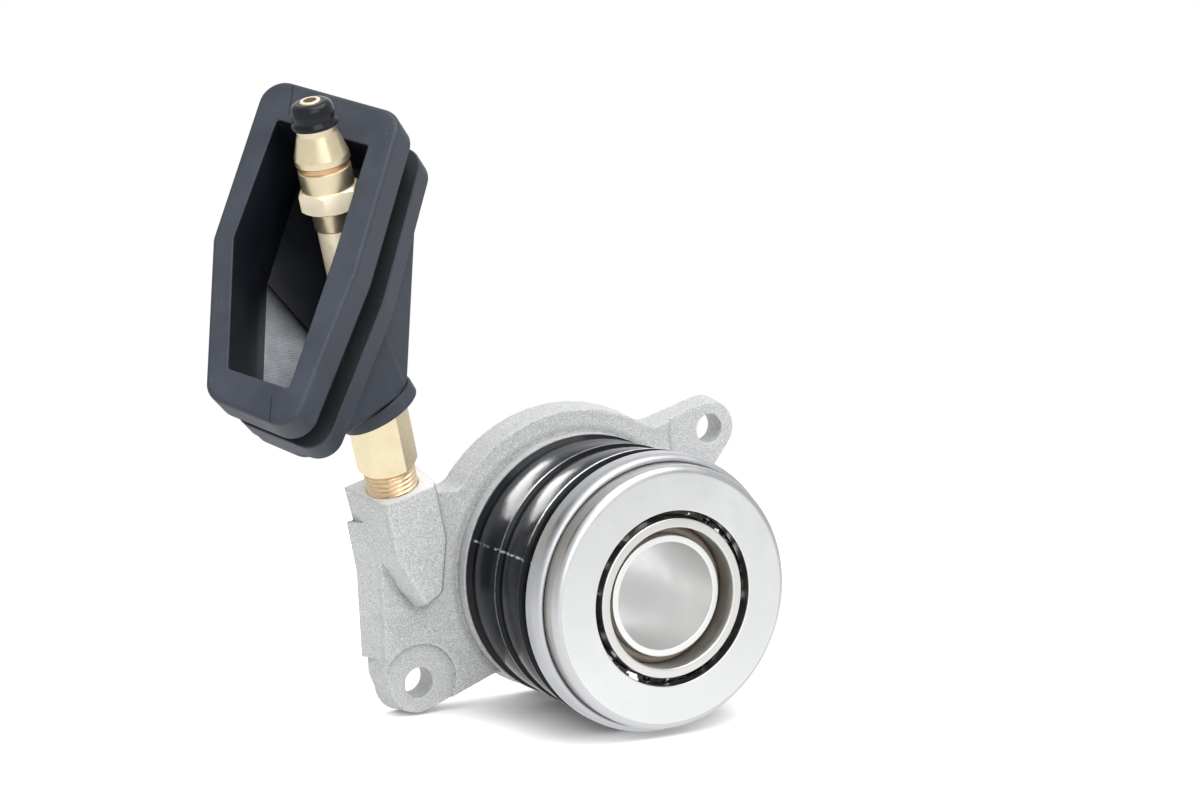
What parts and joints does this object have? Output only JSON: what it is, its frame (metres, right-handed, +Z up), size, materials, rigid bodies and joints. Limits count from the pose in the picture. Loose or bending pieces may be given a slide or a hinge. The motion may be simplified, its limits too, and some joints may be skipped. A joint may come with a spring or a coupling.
{
  "type": "concentric slave cylinder",
  "caption": "Hydraulic clutch actuator that slides round a shaft: cast flanged housing, rubber bellows, release bearing, feed pipe and a rubber window grommet.",
  "frame": {"origin": "centre of the guide tube's bore on the mounting face", "axes": "-Y along the bore axis from the mounting face to the release face, +Z up as the part lies on a surface"},
  "size_m": [0.1696, 0.0715, 0.1693],
  "materials": {
    "cast_aluminium": "sand-blasted casting",
    "tube_steel": "satin",
    "bearing_steel": "fine turned",
    "shell_steel": "satin",
    "ball_steel": "polished",
    "cage_plastic": "matte",
    "piston_plastic": "matte",
    "guide_plastic": "matte",
    "spring_steel": "drawn wire",
    "pressed_steel": "zinc plated",
    "yellow_zinc": "yellow passivated zinc",
    "bellows_rubber": "glossy",
    "grommet_rubber": "matte",
    "seal_rubber": "matte"
  },
  "bodies": {
    "housing_body": {"housing": "cast_aluminium", "guide_tube": "tube_steel", "tube_o_ring": "seal_rubber", "stop_ring": "spring_steel", "preload_spring": "spring_steel", "dust_bellows": "bellows_rubber", "hex_union": "yellow_zinc", "feed_tube": "yellow_zinc", "end_fitting": "yellow_zinc", "nose_seal": "seal_rubber", "window_grommet": "grommet_rubber"},
    "carriage": {"piston": "piston_plastic", "piston_seal": "seal_rubber", "piston_guide_ring": "guide_plastic", "spring_seat": "pressed_steel", "bearing_shell": "shell_steel", "inner_ring": "bearing_steel"},
    "contact": {"contact_ring": "bearing_steel"},
    "ball_set": {"bearing_balls": "ball_steel", "ball_cage": "cage_plastic"}
  },
  "joints": [
    {"name": "release_travel", "type": "slide", "parent": "housing_body", "child": "carriage", "axis": [0, 1, 0], "range_m": [0, 0.014], "stiffness_N_per_m": 2000, "springref_m": -0.01, "deforming": ["dust_bellows", "preload_spring"]},
    {"name": "contact_spin", "type": "hinge", "parent": "carriage", "child": "contact", "pos_m": [0, 0, 0], "axis": [0, 1, 0], "continuous": true},
    {"name": "cage_spin", "type": "hinge", "parent": "carriage", "child": "ball_set", "pos_m": [0, 0, 0], "axis": [0, 1, 0], "continuous": true}
  ],
  "couplings": [
    {"joint": "cage_spin", "follows": "contact_spin", "ratio": 0.5417}
  ]
}
